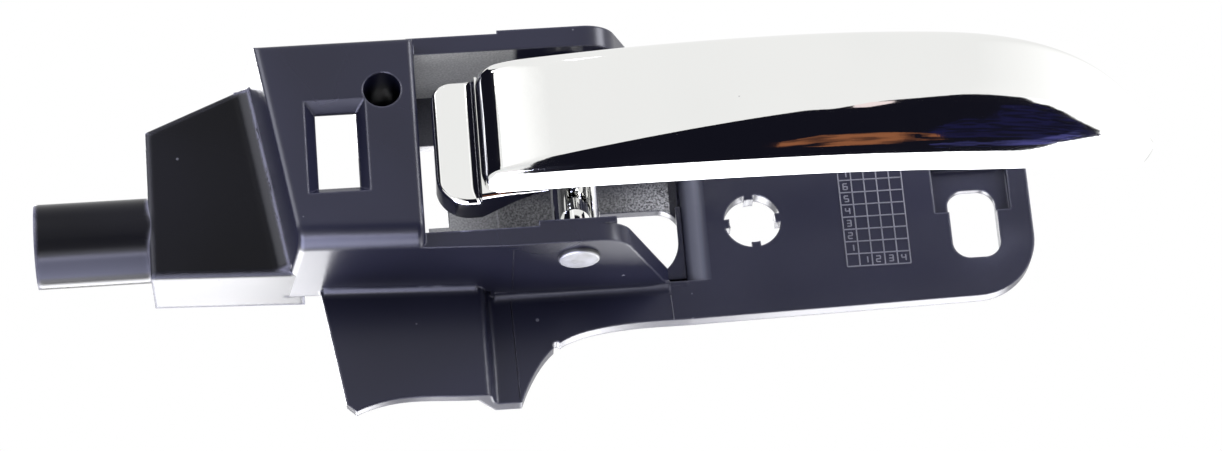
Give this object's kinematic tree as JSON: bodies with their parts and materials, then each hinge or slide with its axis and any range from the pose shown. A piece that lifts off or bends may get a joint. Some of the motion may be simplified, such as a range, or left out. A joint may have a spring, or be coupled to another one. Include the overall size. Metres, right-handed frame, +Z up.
{
  "type": "car interior door handle",
  "caption": "Inner door release: moulded housing with cable tube, clip block and mounting flange, and a chrome pull lever turning on an upright pin.",
  "frame": {"origin": "axis of the ribbed locator hole, on the seat face of the mounting flange", "axes": "+X along the handle towards the grip's tip, +Y into the door, +Z up"},
  "size_m": [0.1937, 0.0422, 0.0621],
  "materials": {
    "moulded_plastic": "dark blue-black moulded plastic, semi-gloss",
    "chrome_plate": "bright chrome plating on a moulded core",
    "pin_steel": "dull zinc-plated steel",
    "spring_steel": "drawn spring wire",
    "buffer_rubber": "matt black rubber"
  },
  "bodies": {
    "housing": {"cable_duct": "moulded_plastic", "clip_block": "moulded_plastic", "lever_well": "moulded_plastic", "mounting_flange": "moulded_plastic", "pivot_pin": "pin_steel", "return_spring": "spring_steel", "rest_buffer": "buffer_rubber"},
    "lever": {"pull_lever": "chrome_plate"}
  },
  "joints": [
    {"name": "pull", "type": "hinge", "parent": "housing", "child": "lever", "pos_m": [-0.032, -0.019, 0.009], "axis": [0, 0, -1], "range_deg": [0, 30], "stiffness_Nm_per_rad": 0.25, "springref_deg": -28.65, "deforming": ["return_spring"]}
  ]
}
